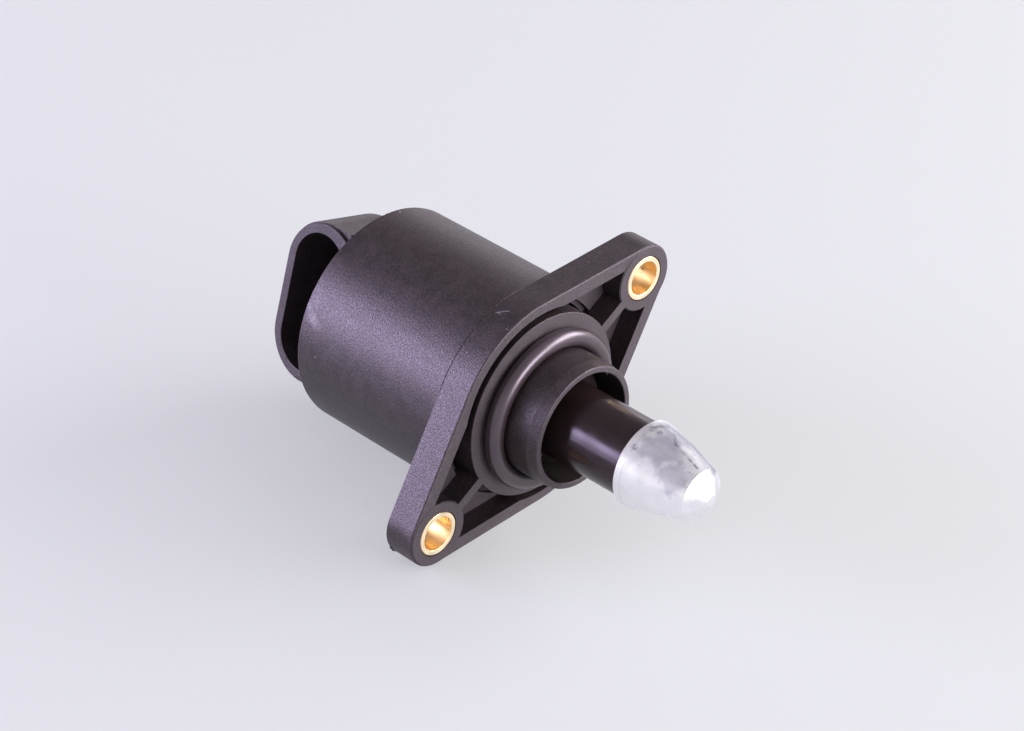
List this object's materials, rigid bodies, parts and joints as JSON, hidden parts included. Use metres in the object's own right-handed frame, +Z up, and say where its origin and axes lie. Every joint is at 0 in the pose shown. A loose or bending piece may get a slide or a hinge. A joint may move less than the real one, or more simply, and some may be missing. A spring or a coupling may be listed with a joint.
{
  "type": "idle air control valve",
  "caption": "Stepper-driven idle air control valve: round plastic motor case with side connector, diamond flange with bushed screw holes, O-ring collar, stem and tapered pintle.",
  "frame": {"origin": "on the valve's axis, in the plane of the screw bosses' faces", "axes": "+X along the valve's axis towards the pintle; +Z up as the valve lies on its case with the flange's lower straight edge level"},
  "size_m": [0.082, 0.0544, 0.0355],
  "materials": {
    "case_plastic": "moulded glass-filled plastic with a fine grain",
    "stem_plastic": "smooth moulded plastic",
    "seal_rubber": "smooth lubricated rubber",
    "bush_brass": "turned brass",
    "pintle_aluminium": "fine turned, bright",
    "screw_steel": "rolled steel",
    "hub_plastic": "moulded plastic",
    "magnet_ferrite": "sintered, dark grey",
    "bearing_bronze": "sintered bronze",
    "bearing_steel": "ground steel",
    "cage_steel": "pressed steel",
    "spring_steel": "spring steel",
    "stator_steel": "zinc-plated pressed steel",
    "bobbin_plastic": "natural moulded plastic",
    "winding_copper": "enamelled copper wire",
    "terminal_tin": "tinned"
  },
  "bodies": {
    "housing": {"motor_body": "case_plastic", "flange_cover": "case_plastic", "bush_upper": "bush_brass", "bush_lower": "bush_brass", "o_ring": "seal_rubber", "rotor_front_bush": "bearing_bronze", "bearing_outer_race": "bearing_steel", "preload_washer": "spring_steel", "stator_cup_front": "stator_steel", "stator_plate_front": "stator_steel", "coil_bobbin_front": "bobbin_plastic", "coil_winding_front": "winding_copper", "stator_cup_rear": "stator_steel", "stator_plate_rear": "stator_steel", "coil_bobbin_rear": "bobbin_plastic", "coil_winding_rear": "winding_copper", "terminal_pin_1": "terminal_tin", "terminal_pin_2": "terminal_tin", "terminal_pin_3": "terminal_tin", "terminal_pin_4": "terminal_tin"},
    "rotor": {"rotor_hub": "hub_plastic", "rotor_magnet": "magnet_ferrite", "bearing_inner_race": "bearing_steel"},
    "ball_set": {"bearing_cage": "cage_steel", "bearing_ball_1": "bearing_steel", "bearing_ball_2": "bearing_steel", "bearing_ball_3": "bearing_steel", "bearing_ball_4": "bearing_steel", "bearing_ball_5": "bearing_steel", "bearing_ball_6": "bearing_steel", "bearing_ball_7": "bearing_steel", "bearing_ball_8": "bearing_steel"},
    "plunger": {"stem": "stem_plastic", "pintle": "pintle_aluminium", "lead_screw": "screw_steel"}
  },
  "joints": [
    {"name": "rotor_spin", "type": "hinge", "parent": "housing", "child": "rotor", "pos_m": [-0.018, 0, 0], "axis": [1, 0, 0], "range_deg": [-360, 3060]},
    {"name": "ball_set_spin", "type": "hinge", "parent": "housing", "child": "ball_set", "pos_m": [-0.02955, 0, 0], "axis": [1, 0, 0], "range_deg": [-145.3, 1227.5]},
    {"name": "pintle_slide", "type": "slide", "parent": "housing", "child": "plunger", "axis": [1, 0, 0], "range_m": [-0.0085, 0.001]}
  ],
  "couplings": [
    {"joint": "pintle_slide", "follows": "rotor_spin", "m_per_rad": -0.00015915},
    {"joint": "ball_set_spin", "follows": "rotor_spin", "ratio": 0.40083}
  ]
}
